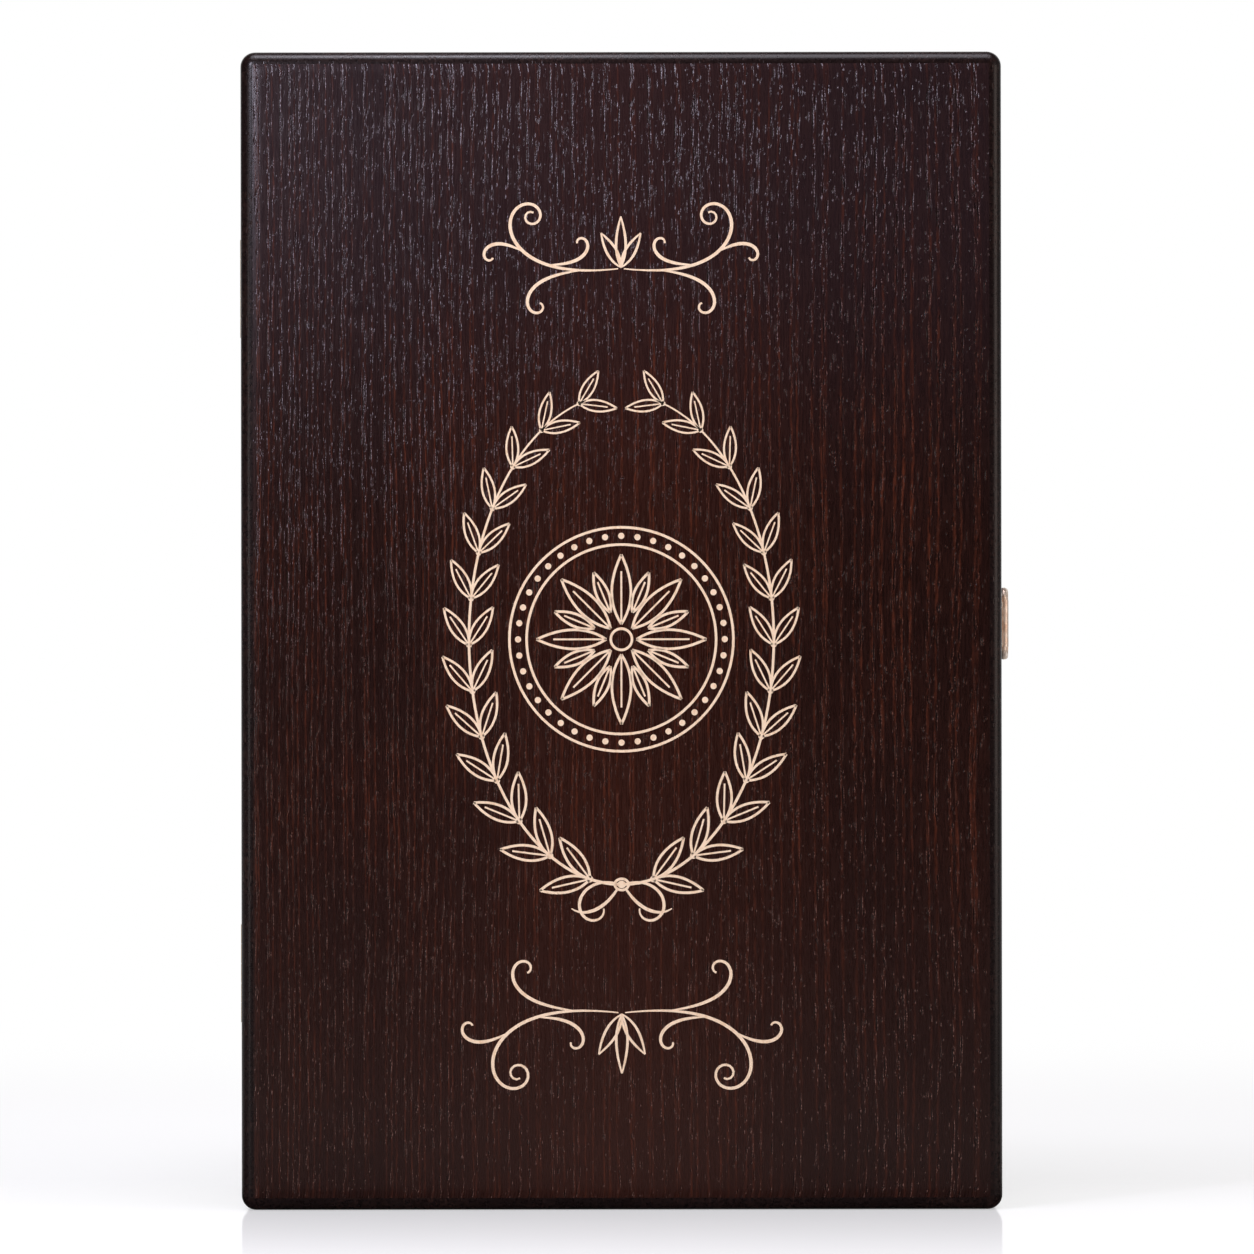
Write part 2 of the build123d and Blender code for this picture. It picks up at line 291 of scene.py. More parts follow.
@dataclass(frozen=True)
class OpenPoreVeneer:
    """Dark stained, ring-porous wood under a satin lacquer, with painted glints, sheen, shade and bounce
    light. Lengths are in millimetres.

    Attributes:
        name: The material's name.
        run: The way that the grain runs.
        ground: The colour of the dense wood.
        foot: The lighter, redder colour of the dense wood near the foot, a painted bounce light standing in
            for light thrown up from the floor.
        shade: The greyer, cooler colour of the dense wood towards the top, a painted sheen standing in for
            the lacquer's reflection there.
        halo: The colour of the wood along a chain of pores.
        pore: The dark colour inside the pores, partly dark filler and partly painted shade in the grooves.
        lip: The colour of the painted glint along one side of a pore, a highlight standing in for light
            caught on the pore's wall.
        painted_foot_glint: The colour of the painted glint near the foot, lighter there.
        painted_pale_glint: The colour of the painted glint towards the top, paler where the painted highlight
            lies.
        glint_width: The width of that painted glint.
        chain: The usual distance between two chains of pores.
        uneven: How unevenly the chains are spaced, from 0 to 1.
        widening: How fast the chains draw apart across the board.
        sways: The grain's bends for each millimetre across and along, and how wide they swing.
        plain: The heights below which the grain is plain and the wood painted lighter, and above which the
            grain is full.
        wander: How far those heights wander.
        painted_sheen_heights: The heights between which the wood takes the painted sheen.
        lean: How much lower the painted highlight on the glints reaches for each millimetre to the left.
        heart: Half the width of the warmer middle of the board, and how warm it is.
        dash: The width and length of the wood that holds one short pore.
        slit: The width and length of the wood that holds one long pore.
        fibre: The width and length of a fibre.
        patch: The width and length of a patch of deeper stain.
        plug: The width and length of what fills the pores here and there.
        glint_breakup: The width and length of a grain that breaks the painted glints into dashes.
        pore_depth: The depth of the pores.
        roughness: The lacquer's roughness.
    """

    name: str
    run: Run
    ground: str = "1b0b08"
    foot: str = "23110d"
    shade: str = "231719"
    halo: str = "502312"
    pore: str = "100706"
    lip: str = "5c392d"
    painted_foot_glint: str = "75564c"
    painted_pale_glint: str = "8b828a"
    glint_width: float = 0.26
    chain: float = 2.9
    uneven: float = 0.85
    widening: float = 0.0
    sways: tuple[tuple[Point, float], ...] = (((0.02, 0.006), 6.0), ((0.4, 0.2), 0.6), ((1.5, 0.7), 0.22))
    plain: Point = (40.0, 190.0)
    wander: float = 60.0
    painted_sheen_heights: Point = (190.0, 320.0)
    lean: float = 0.6
    heart: Point = (80.0, 0.15)
    dash: Point = (0.62, 2.6)
    slit: Point = (0.62, 8.0)
    fibre: Point = (0.5, 9.0)
    patch: Point = (24.0, 70.0)
    plug: Point = (1.1, 1.1)
    glint_breakup: Point = (0.42, 0.55)
    pore_depth: float = 0.1
    roughness: float = 0.28

    def make(self) -> Material:
        """Builds the material.

        Returns:
            The finished material.
        """
        graph = MaterialGraph(self.name)
        x, y, z = graph.millimetres()
        along, aside = (z, x) if self.run is Run.UPRIGHT else (x, z)
        flat = graph.math("ADD", aside, y)
        across = graph.math("MULTIPLY_ADD", graph.times(flat, flat), -self.widening, flat)
        for pace, most in self.sways:
            across = self._sway(graph, across, along, pace, most)

        line, rank = graph.cells(graph.math("DIVIDE", across, self.chain), self.uneven)
        band = graph.times(graph.ramp(line, 0.34, 0.06), graph.ramp(rank, 0.0, 0.8, 0.5, 1.0))
        fibre = graph.noise(graph.stretch(across, along, self.fibre), 1.0, 3.0, 0.6)
        tone = graph.noise(graph.stretch(flat, along, self.patch), 1.0)
        height = graph.math("MULTIPLY_ADD", tone, self.wander, z)
        figure_and_painted_foot_light = graph.ramp(height, *(end + self.wander / 2 for end in self.plain))

        reach = graph.times(graph.ramp(band, 0.0, 0.8, 0.4, 1.0), graph.ramp(figure_and_painted_foot_light, 0.0, 1.0, 0.8, 1.0))
        plugs = graph.noise(graph.stretch(across, along, self.plug), 1.0)
        dips = self._dips(graph, across, along, reach, plugs)
        # Painted glints: a pale line along the right side of each pore, where light from the left would catch
        # its wall, broken into dashes.
        beside = self._dips(graph, graph.math("SUBTRACT", across, self.glint_width), along, reach, plugs)
        glint_breakup = graph.noise(graph.stretch(across, along, self.glint_breakup), 1.0, 1.0)
        painted_glints = graph.ramp(graph.math("SUBTRACT", beside, dips), 0.12, 0.5)
        painted_glints = graph.times(painted_glints, graph.ramp(glint_breakup, 0.45, 0.63, 0.08, 1.0))

        core = graph.times(graph.ramp(line, 0.22, 0.03), graph.ramp(plugs, 0.3, 0.6, 0.5, 1.0))
        warmth = graph.times(graph.ramp(fibre, 0.3, 0.75), graph.ramp(core, 0.0, 0.9, 0.18, 1.0))
        warmth = graph.times(warmth, graph.ramp(tone, 0.3, 0.7, 0.5, 1.4))
        warmth = graph.times(warmth, graph.ramp(figure_and_painted_foot_light, 0.0, 1.0, 0.6, 1.0))
        heart = graph.ramp(graph.math("ABSOLUTE", x), self.heart[0], 0.0, 0.0, self.heart[1])
        # Painted sheen: towards the top the wood turns greyer and cooler and its red fades, as under the
        # lacquer's sheen.
        painted_top_sheen = graph.ramp(z, *self.painted_sheen_heights)
        warmth = graph.times(graph.math("ADD", warmth, heart), graph.ramp(painted_top_sheen, 0.0, 1.0, 1.0, 0.5))
        # Painted highlight: the glints turn paler towards the top, reaching lower on the left, as where light
        # falls from the upper left.
        painted_highlight = graph.ramp(graph.math("MULTIPLY_ADD", x, -self.lean, z), *self.painted_sheen_heights)

        # Painted bounce light: near the foot the wood is lighter and redder, as if lit from the floor; the
        # plainer grain there, with fewer pores and less red, is the wood's own.
        wood = graph.tint(figure_and_painted_foot_light, srgb(self.foot), srgb(self.ground))
        wood = graph.tint(painted_top_sheen, wood, srgb(self.shade))
        wood = graph.tint(warmth, wood, srgb(self.halo))
        # The pores darken towards their middle: partly dark filler, partly painted shade in the grooves.
        wood = graph.tint(graph.ramp(dips, 0.2, 0.7, 0.0, 0.8), wood, srgb(self.pore))
        # The painted glints are lighter near the foot.
        lip = graph.tint(figure_and_painted_foot_light, srgb(self.painted_foot_glint), srgb(self.lip))
        lip = graph.tint(painted_highlight, lip, srgb(self.painted_pale_glint))
        graph.surface(
            Base_Color=graph.tint(painted_glints, wood, lip),
            Roughness=graph.ramp(fibre, 0.2, 0.8, self.roughness - 0.06, self.roughness + 0.06),
            Specular_IOR_Level=0.32,
        )
        graph.bump(graph.math("MULTIPLY_ADD", fibre, 0.1, graph.times(dips, -1.0)), self.pore_depth)
        return graph.material

    def _dips(
        self, graph: MaterialGraph, across: NodeSocket, along: NodeSocket,
        reach: NodeSocket, plugs: NodeSocket,
    ) -> NodeSocket:
        """Cuts the long and the short pores.

        Args:
            graph: The material's graph.
            across: Millimetres across the bent grain.
            along: Millimetres along the grain.
            reach: A factor on the pores' size.
            plugs: The noise that fills the pores here and there.

        Returns:
            The socket of the dip, from 0 at a pore's brim to 1 at its middle.
        """
        dashes = graph.pores(graph.stretch(across, along, self.dash), reach)
        slits = graph.pores(graph.stretch(across, along, self.slit), reach)
        return graph.times(graph.math("MAXIMUM", dashes, slits), graph.ramp(plugs, 0.3, 0.5, 0.4, 1.0))

    @staticmethod
    def _sway(
        graph: MaterialGraph, across: NodeSocket, along: NodeSocket, pace: Point, most: float
    ) -> NodeSocket:
        """Bends the grain, with so many bends for each millimetre and that swing."""
        place = graph.combine(graph.times(across, pace[0]), graph.times(along, pace[1]))
        return graph.math("MULTIPLY_ADD", graph.math("SUBTRACT", graph.noise(place, 1.0), 0.5), most, across)


@dataclass(frozen=True)
class EdgeLacquer:
    """Smooth dark edge timber under the same lacquer. Lengths are in millimetres."""

    name: str
    ground: str = "160d0c"
    warm: str = "281814"
    pore: str = "3a241d"
    cell: Triple = (0.7, 0.7, 3.0)
    pore_depth: float = 0.06
    roughness: float = 0.28

    def make(self) -> Material:
        """Builds the material.

        Returns:
            The finished material.
        """
        graph = MaterialGraph(self.name)
        place = graph.place()
        fleck = graph.noise(place, 0.9, 4.0, 0.6)
        cloud = graph.noise(place, 0.05)
        swell = graph.noise(place, 0.35, 3.0)
        warmth = graph.times(graph.ramp(fleck, 0.4, 0.7), graph.ramp(cloud, 0.35, 0.65, 0.3, 1.0))
        ways = zip(graph.millimetres(), self.cell)
        cells = graph.combine(*(graph.math("DIVIDE", way, size) for way, size in ways))
        pores = graph.pores(cells, graph.ramp(cloud, 0.3, 0.6, 0.3, 0.7))
        wood = graph.tint(warmth, srgb(self.ground), srgb(self.warm))
        graph.surface(
            Base_Color=graph.tint(graph.times(pores, 0.5), wood, srgb(self.pore)),
            Roughness=graph.ramp(fleck, 0.2, 0.8, self.roughness - 0.04, self.roughness + 0.06),
            Specular_IOR_Level=0.25,
        )
        relief = graph.math("MULTIPLY_ADD", swell, 0.15, graph.times(pores, -1.0))
        graph.bump(relief, self.pore_depth)
        return graph.material


@dataclass(frozen=True)
class Velvet:
    """Short-piled lining velvet. Lengths are in millimetres."""

    name: str
    ground: str = "0e1634"
    brushed: str = "16224a"
    sheen: str = "9aa8d2"
    pile: float = 0.12

    def make(self) -> Material:
        """Builds the material.

        Returns:
            The finished material.
        """
        graph = MaterialGraph(self.name)
        place = graph.place()
        nap = graph.noise(place, 0.012)
        strokes = graph.noise(graph.place(0.12), 0.5, 3.0, 0.6)
        pile = graph.noise(place, 3.2, 2.0, 0.6)
        brushed = graph.math("MULTIPLY_ADD", strokes, 0.5, graph.times(nap, 0.5))
        fuzz = graph.math("SUBTRACT", pile, 0.5)
        shade = graph.math("MULTIPLY_ADD", fuzz, 0.9, graph.ramp(brushed, 0.3, 0.7))
        graph.surface(
            Base_Color=graph.tint(shade, srgb(self.ground), srgb(self.brushed)),
            Roughness=0.92,
            Specular_IOR_Level=0.15,
            Sheen_Weight=0.4,
            Sheen_Roughness=0.35,
            Sheen_Tint=srgb(self.sheen),
        )
        graph.bump(pile, self.pile)
        return graph.material


@dataclass(frozen=True)
class Metal:
    """Plated or bare metal with a brushed, lightly tarnished surface. Lengths are in millimetres."""

    name: str
    bright: str
    dull: str
    roughness: float
    bare: float = 1.0
    scratch: float = 0.006

    def make(self) -> Material:
        """Builds the material.

        Returns:
            The finished material.
        """
        graph = MaterialGraph(self.name)
        brushed = graph.noise(graph.place(0.08), 4.0, 3.0)
        cloud = graph.noise(graph.place(), 0.35, 3.0, 0.6)
        graph.surface(
            Base_Color=graph.tint(graph.ramp(cloud, 0.35, 0.75), srgb(self.bright), srgb(self.dull)),
            Metallic=self.bare,
            Roughness=graph.ramp(brushed, 0.2, 0.8, self.roughness - 0.07, self.roughness + 0.1),
        )
        graph.bump(brushed, self.scratch)
        return graph.material


@dataclass(frozen=True)
class InlaidFill:
    """Pale matt fill of the engraved lines. Lengths are in millimetres."""

    name: str
    pale: str = "f3d8b8"
    worn: str = "e4bf98"
    relief: float = 0.02

    def make(self) -> Material:
        """Builds the material.

        Returns:
            The finished material.
        """
        graph = MaterialGraph(self.name)
        mottle = graph.noise(graph.place(0.4), 1.1, 3.0, 0.6)
        graph.surface(
            Base_Color=graph.tint(graph.ramp(mottle, 0.45, 0.8), srgb(self.pale), srgb(self.worn)),
            Roughness=0.7,
            Specular_IOR_Level=0.25,
        )
        graph.bump(mottle, self.relief)
        return graph.material


@dataclass(frozen=True)
class Card:
    """Grey lining card. Lengths are in millimetres."""

    name: str
    pale: str = "8f8a80"
    fleck: str = "77716a"
    relief: float = 0.05

    def make(self) -> Material:
        """Builds the material.

        Returns:
            The finished material.
        """
        graph = MaterialGraph(self.name)
        fibre = graph.noise(graph.place(), 1.6, 4.0, 0.65)
        graph.surface(
            Base_Color=graph.tint(graph.ramp(fibre, 0.35, 0.7), srgb(self.pale), srgb(self.fleck)),
            Roughness=0.9,
        )
        graph.bump(fibre, self.relief)
        return graph.material


class GeometryGraph(NodeGraph):
    """Builds one Geometry Nodes tree with named sizes. Lengths are in millimetres."""

    def __init__(self, name: str, sizes: dict[str, Size]) -> None:
        """Makes a tree with its sockets.

        Args:
            name: The tree's name.
            sizes: The named inputs and their usual values. A whole number makes a count.
        """
        super().__init__(bpy.data.node_groups.new(name, "GeometryNodeTree"))
        face = self.tree.interface
        face.new_socket("Geometry", in_out="INPUT", socket_type="NodeSocketGeometry")
        face.new_socket("Geometry", in_out="OUTPUT", socket_type="NodeSocketGeometry")
        self.identifiers: dict[str, str] = {}
        for key, value in sizes.items():
            kind = "NodeSocketInt" if isinstance(value, int) else "NodeSocketFloat"
            socket = face.new_socket(key, in_out="INPUT", socket_type=kind)
            socket.default_value = value
            self.identifiers[key] = socket.identifier
        self.source = self.add("NodeGroupInput")
        self.sink = self.add("NodeGroupOutput")

    def size(self, name: str) -> NodeSocket:
        """Gives the socket of a named input."""
        return self.source.outputs[name]

    def ribbon(self, curve: NodeSocket, width: Value = 1.0) -> NodeSocket:
        """Gives a flat curve its inlaid line.

        Args:
            curve: The curve's socket.
            width: A factor on the line's width.

        Returns:
            The line's mesh socket.
        """
        flat = self.join("GeometryNodeSetCurveNormal", {"Curve": curve}, mode="Z_UP")
        sizes = {"Width": self.size("Line Width"), "Height": self.size("Thickness")}
        profile = self.join("GeometryNodeCurvePrimitiveQuadrilateral", sizes)
        inputs = {"Curve": flat, "Profile Curve": profile, "Scale": width, "Fill Caps": True}
        return self.join("GeometryNodeCurveToMesh", inputs)

    def together(self, pieces: Iterable[NodeSocket]) -> NodeSocket:
        """Puts geometry together.

        Args:
            pieces: The geometry sockets.

        Returns:
            The socket of all of them.
        """
        node = self.add("GeometryNodeJoinGeometry")
        for piece in pieces:
            self.feed(node.inputs[0], piece)
        return node.outputs[0]

    def heading(self, vector: NodeSocket) -> NodeSocket:
        """Gives the direction of a vector in the plane, in radians."""
        x, y, _ = self.split(vector)
        return self.math("ARCTAN2", y, x)

    def ring(self, count: str, radius: str) -> tuple[NodeSocket, NodeSocket]:
        """Spreads points round a circle.

        Args:
            count: The name of the input with the number of points.
            radius: The name of the input with the circle's radius.

        Returns:
            The points' socket, and the socket of each point's direction in radians.
        """
        inputs = {"Vertices": self.size(count), "Radius": self.size(radius)}
        points = self.join("GeometryNodeMeshCircle", inputs)
        return points, self.heading(self.join("GeometryNodeInputPosition", {}))

    def dot(self, radius: str) -> NodeSocket:
        """Draws a round dot with the radius of that name."""
        inputs = {"Vertices": DOT_CORNERS, "Radius": self.size(radius), "Depth": self.size("Thickness")}
        return self.join("GeometryNodeMeshCylinder", inputs)

    def leaf(self) -> NodeSocket:
        """Draws a leaf along x from the tree's Leaf Length and Leaf Width, with its midrib.

        Returns:
            The leaf's mesh socket.
        """
        length = self.size("Leaf Length")
        tip = self.combine(length)
        lines = []
        for way in (1.0, -1.0):
            middle = self.combine(self.times(length, LEAF_BELLY), self.times(self.size("Leaf Width"), way))
            arc = {"Resolution": 12, "Start": ORIGIN, "Middle": middle, "End": tip}
            lines.append(self.ribbon(self.join("GeometryNodeCurveQuadraticBezier", arc)))
        ends = {"Start": ORIGIN, "End": self.combine(self.times(length, RIB_LENGTH))}
        lines.append(self.ribbon(self.join("GeometryNodeCurvePrimitiveLine", ends), RIB_WIDTH))
        return self.together(lines)

    def scatter(
        self, points: NodeSocket, piece: NodeSocket, angle: NodeSocket, scale: Value = 1.0
    ) -> NodeSocket:
        """Sets a copy of a piece on each point, turned in the plane.

        Args:
            points: The points' socket.
            piece: The piece's socket.
            angle: The turn of each copy in radians.
            scale: The size of each copy.

        Returns:
            The instances' socket.
        """
        turn = self.join("FunctionNodeEulerToRotation", {"Euler": self.combine(0.0, 0.0, angle)})
        inputs = {"Points": points, "Instance": piece, "Rotation": turn}
        inputs["Scale"] = self.combine(scale, scale, 1.0)
        return self.join("GeometryNodeInstanceOnPoints", inputs)

    def finish(self, pieces: Iterable[NodeSocket], material: Material) -> None:
        """Ends the tree in one realized, painted mesh.

        Args:
            pieces: The geometry sockets to put together.
            material: The finish.
        """
        real = self.join("GeometryNodeRealizeInstances", {"Geometry": self.together(pieces)})
        painted = self.join("GeometryNodeSetMaterial", {"Geometry": real, "Material": material})
        self.feed(self.sink.inputs[0], painted)

    def grow(self, name: str, host: Mesh, place: Matrix, **sizes: Size) -> Object:
        """Runs the tree and keeps the result as a plain mesh.

        Args:
            name: The piece's name.
            host: The mesh that the tree starts from.
            place: The matrix that puts the result on the object.
            **sizes: Values for the named inputs, with an underscore for each space.

        Returns:
            The finished piece.
        """
        helper = bpy.data.objects.new(f"{name}_host", host)
        bpy.context.scene.collection.objects.link(helper)
        modifier = helper.modifiers.new(self.tree.name, "NODES")
        modifier.node_group = self.tree
        for key, value in sizes.items():
            modifier[self.identifiers[key.replace("_", " ")]] = value
        bpy.context.view_layer.update()
        grown = helper.evaluated_get(bpy.context.evaluated_depsgraph_get())
        mesh = bpy.data.meshes.new_from_object(grown)
        mesh.name = name
        bpy.data.objects.remove(helper)
        mesh.transform(place)
        close_up(mesh)
        return piece_of(name, mesh)


def piece_of(name: str, mesh: Mesh) -> Object:
    """Puts a mesh into the scene.

    Args:
        name: The piece's name.
        mesh: The mesh.

    Returns:
        The piece.
    """
    piece = bpy.data.objects.new(name, mesh)
    bpy.context.scene.collection.objects.link(piece)
    return piece


def close_up(mesh: Mesh, sharp: float = 40.0) -> None:
    """Points a closed mesh's faces outwards and shades it smooth up to an angle.

    Args:
        mesh: The mesh.
        sharp: The angle in degrees past which an edge stays sharp.
    """
    editor = bmesh.new()
    editor.from_mesh(mesh)
    bmesh.ops.recalc_face_normals(editor, faces=editor.faces)
    editor.to_mesh(mesh)
    editor.free()
    mesh.shade_smooth()
    mesh.set_sharp_from_angle(angle=math.radians(sharp))


def skin(
    name: str, points: Sequence[Triple], faces: Sequence[Sequence[int]], material: Material
) -> Object:
    """Makes a piece from a closed mesh with one finish.

    Args:
        name: The piece's name.
        points: The vertices.
        faces: The vertex numbers of each face.
        material: The finish.

    Returns:
        The piece, with its faces pointing outwards.
    """
    mesh = bpy.data.meshes.new(name)
    mesh.from_pydata(points, [], faces)
    mesh.materials.append(material)
    close_up(mesh)
    return piece_of(name, mesh)


def loft(name: str, rings: Sequence[Sequence[Triple]], material: Material) -> Object:
    """Makes a piece from rings of points, with a cap at each end.

    Args:
        name: The piece's name.
        rings: The rings in their order, each of as many points.
        material: The finish.

    Returns:
        The piece.
    """
    wide = len(rings[0])
    points = [point for ring in rings for point in ring]
    last = len(points) - wide
    faces: list[Sequence[int]] = [range(wide), range(last, len(points))]
    for here in range(0, last, wide):
        there = here + wide
        for step in range(wide):
            after = (step + 1) % wide
            faces.append((here + step, here + after, there + after, there + step))
    return skin(name, points, faces, material)


def dress(names: Iterable[str], material: Material) -> None:
    """Gives CAD nodes a finish.

    Args:
        names: The nodes' names.
        material: The finish.
    """
    for name in names:
        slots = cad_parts[name].data.materials
        slots.clear()
        slots.append(material)
        log.info("dressed %s with %s", name, material.name)


def rounded_loop(half: Point, radius: float, steps: int = 6) -> list[Point]:
    """Points of a rectangle with rounded corners.

    Args:
        half: Half the width and half the height.
        radius: The corners' radius.
        steps: Steps round each corner.

    Returns:
        The points, anticlockwise.
    """
    loop = []
    for corner, (side_x, side_z) in enumerate(((1, 1), (-1, 1), (-1, -1), (1, -1))):
        middle = (side_x * (half[0] - radius), side_z * (half[1] - radius))
        for step in range(steps + 1):
            angle = math.pi / 2 * (corner + step / steps)
            loop.append((middle[0] + radius * math.cos(angle), middle[1] + radius * math.sin(angle)))
    return loop


def curl(start: Point, heading: float, length: float, radii: Point, way: int, steps: int = 70) -> list[Point]:
    """Points of a scroll whose radius shrinks in proportion along its length.

    Args:
        start: Where it starts.
        heading: Where it heads at first, in degrees.
        length: Its length.
        radii: Its first and last radius.
        way: 1 to turn left and -1 to turn right.
        steps: How many steps it has.

    Returns:
        The points.
    """
    x, y = start
    angle = math.radians(heading)
    step = length / steps
    points = [start]
    for index in range(steps):
        radius = radii[0] * (radii[1] / radii[0]) ** ((index + 0.5) / steps)
        half_turn = way * step / radius / 2
        angle += half_turn
        x += math.cos(angle) * step
        y += math.sin(angle) * step
        angle += half_turn
        points.append((x, y))
    return points


@dataclass(frozen=True)
class Stroke:
    """One line of the ornament.

    Attributes:
        points: The line's points in millimetres.
        closed: Whether it ends where it starts.
        widths: Factors on the line's width at its start, middle and end.
    """

    points: Sequence[Point]
    closed: bool = False
    widths: Triple = (1.0, 1.0, 1.0)

    def width(self, share: float) -> float:
        """Gives the factor on the width at a share of the line's length."""
        end = self.widths[0 if share < 0.5 else 2]
        return end + (self.widths[1] - end) * math.sin(math.pi * share)

    def branch(self, share: float, lean: float, length: float, radii: Point, way: int) -> "Stroke":
        """Lets a scroll spring from this line.

        Args:
            share: Where on the line it springs.
            lean: The turn away from the line there, in degrees.
            length: The scroll's length.
            radii: The scroll's first and last radius.
            way: 1 to turn left and -1 to turn right.

        Returns:
            The scroll.
        """
        index = round(share * (len(self.points) - 2))
        here, ahead = self.points[index], self.points[index + 1]
        heading = math.degrees(math.atan2(ahead[1] - here[1], ahead[0] - here[0]))
        return Stroke(curl(here, heading + lean, length, radii, way), widths=SCROLL_WIDTHS)

    def moved(self, centre: Point, scale: Point) -> "Stroke":
        """Gives the line scaled about the origin and moved to a centre."""
        points = [(centre[0] + scale[0] * x, centre[1] + scale[1] * y) for x, y in self.points]
        return Stroke(points, self.closed, self.widths)


@dataclass
class Ornament:
    """The inlaid ornament of the lid. Lengths are in millimetres about the middle of the face.

    A flourish has its height, its size and 1 for upright or -1 for turned over. A ring of petals has its
    radius, the petals' length and width, and its turn. Each stroke lies one layer above the one before it.
    """

    fill: Material
    face_y: float
    middle_z: float
    line: float = 0.78
    thickness: float = 0.12
    proud: float = 0.03
    layer: float = 0.0006
    wreath: Point = (46.0, 74.0)
    wreath_drop: float = -2.6
    wreath_arc: Point = (-97.0, 74.0)
    bare_foot: float = 19.0
    rings: tuple[float, ...] = (28.6, 33.8, 3.2)
    bead_ring: float = 31.2
    flourishes: tuple[tuple[float, float, int], ...] = ((115.0, 0.96, 1), (-122.0, 1.12, -1))
    petals: tuple[tuple[str, float, float, float, float], ...] = (
        ("rosette_long_petals", 4.6, 21.0, 5.8, 0.0),
        ("rosette_short_petals", 8.8, 13.0, 3.7, math.pi / 8),
    )

    def place(self) -> Matrix:
        """Lifts the flat drawing onto the lid's face.

        Returns:
            The matrix that does so.
        """
        level = self.face_y - self.proud * MM
        middle = self.middle_z + self.wreath_drop * MM
        upright = Matrix.Rotation(math.pi / 2, 4, "X")
        return Matrix.Translation((0.0, level, middle)) @ upright @ Matrix.Scale(MM, 4)

    def build(self) -> list[Object]:
        """Makes the ornament's pieces and lets them ride on the lid.

        Returns:
            The pieces.
        """
        pieces = [self._lines(), self._leaves(), *self._rosette(), self._beads()]
        for piece in pieces:
            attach(piece, Body.LID.value)
        return pieces

    def _sizes(self, **more: Size) -> dict[str, Size]:
        """Gives the sizes that every tree of the ornament has, and more of its own."""
        named = {key.replace("_", " "): value for key, value in more.items()}
        return {"Line Width": self.line, "Thickness": self.thickness, **named}

    def _inlay(
        self, graph: GeometryGraph, name: str, strokes: Sequence[Stroke], **sizes: Size
    ) -> Object:
        """Grows the piece of that name on the lid, from a tree and the strokes that it starts from."""
        return graph.grow(name, self._host(name, strokes), self.place(), **sizes)

    def _branch(self, way: int, bare: float = 0.0) -> Stroke:
        """Draws one branch of the wreath.

        Args:
            way: 1 for the right branch and -1 for the left one.
            bare: Degrees at its foot to leave out.

        Returns:
            The line.
        """
        first, last = self.wreath_arc[0] + bare, self.wreath_arc[1]
        steps = 72
        angles = [math.radians(first + (last - first) * step / steps) for step in range(steps + 1)]
        points = [(way * self.wreath[0] * math.cos(a), self.wreath[1] * math.sin(a)) for a in angles]
        return Stroke(points, widths=(1.15, 1.0, 0.6))

    @staticmethod
    def _circle(radius: float, steps: int = 96) -> Stroke:
        """Draws a circle about the middle."""
        angles = [2 * math.pi * step / steps for step in range(steps)]
        return Stroke([(radius * math.cos(a), radius * math.sin(a)) for a in angles], closed=True)

    @staticmethod
    def _palmette() -> list[Stroke]:
        """Draws a palmette.

        Returns:
            The strokes.
        """
        petals = []
        foot, steps = -5.6, 14
        for lean, length in ((0.0, 16.0), (30.0, 12.5), (-30.0, 12.5)):
            angle = math.radians(90.0 + lean)
            for belly in (1.5, -1.5):
                points = []
                for step in range(steps + 1):
                    share = step / steps
                    out = length * share
                    wide = belly * 4 * share * (1 - share) * (1.25 - 0.5 * share)
                    x = out * math.cos(angle) - wide * math.sin(angle)
                    points.append((x, foot + out * math.sin(angle) + wide * math.cos(angle)))
                petals.append(Stroke(points, widths=(0.6, 1.0, 0.6)))
        return petals

    def _flourish(self, centre: float, scale: float, way: int) -> list[Stroke]:
        """Draws a palmette between two pairs of scrolls.

        Args:
            centre: The height of the middle.
            scale: A factor on the size.
            way: 1 for upright and -1 for turned over.

        Returns:
            The strokes.
        """
        stem = Stroke(curl((0.9, -6.0), -6.0, 67.5, (120.0, 1.5), 1), widths=SCROLL_WIDTHS)
        half = [
            stem,
            stem.branch(0.17, -10.0, 31.0, (90.0, 1.2), -1),
            stem.branch(0.33, 160.0, 21.0, (60.0, 1.0), -1),
            stem.branch(0.46, -14.0, 19.0, (42.0, 1.0), -1),
        ]
        strokes = []
        for side, part in ((1, half), (-1, half), (1, self._palmette())):
            strokes += [stroke.moved((0.0, centre), (side * scale, way * scale)) for stroke in part]
        return strokes

    def _bow(self) -> list[Stroke]:
        """Draws the tie where the branches cross.

        Returns:
            The strokes.
        """
        knot = -self.wreath[1]
        half = [
            Stroke(curl((1.2, knot - 1.2), -58.0, 17.0, (26.0, 5.0), 1), widths=(0.8, 1.3, 0.4)),
            Stroke(curl((1.9, knot + 0.4), 12.0, 27.0, (13.0, 2.6), -1), widths=(0.7, 1.2, 0.6)),
        ]
        mirrored = [stroke.moved((0.0, 0.0), (side, 1.0)) for side in (1, -1) for stroke in half]
        ring = [stroke.moved((0.0, knot), (1.0, 0.8)) for stroke in (self._circle(2.1), self._circle(0.9))]
        return mirrored + ring

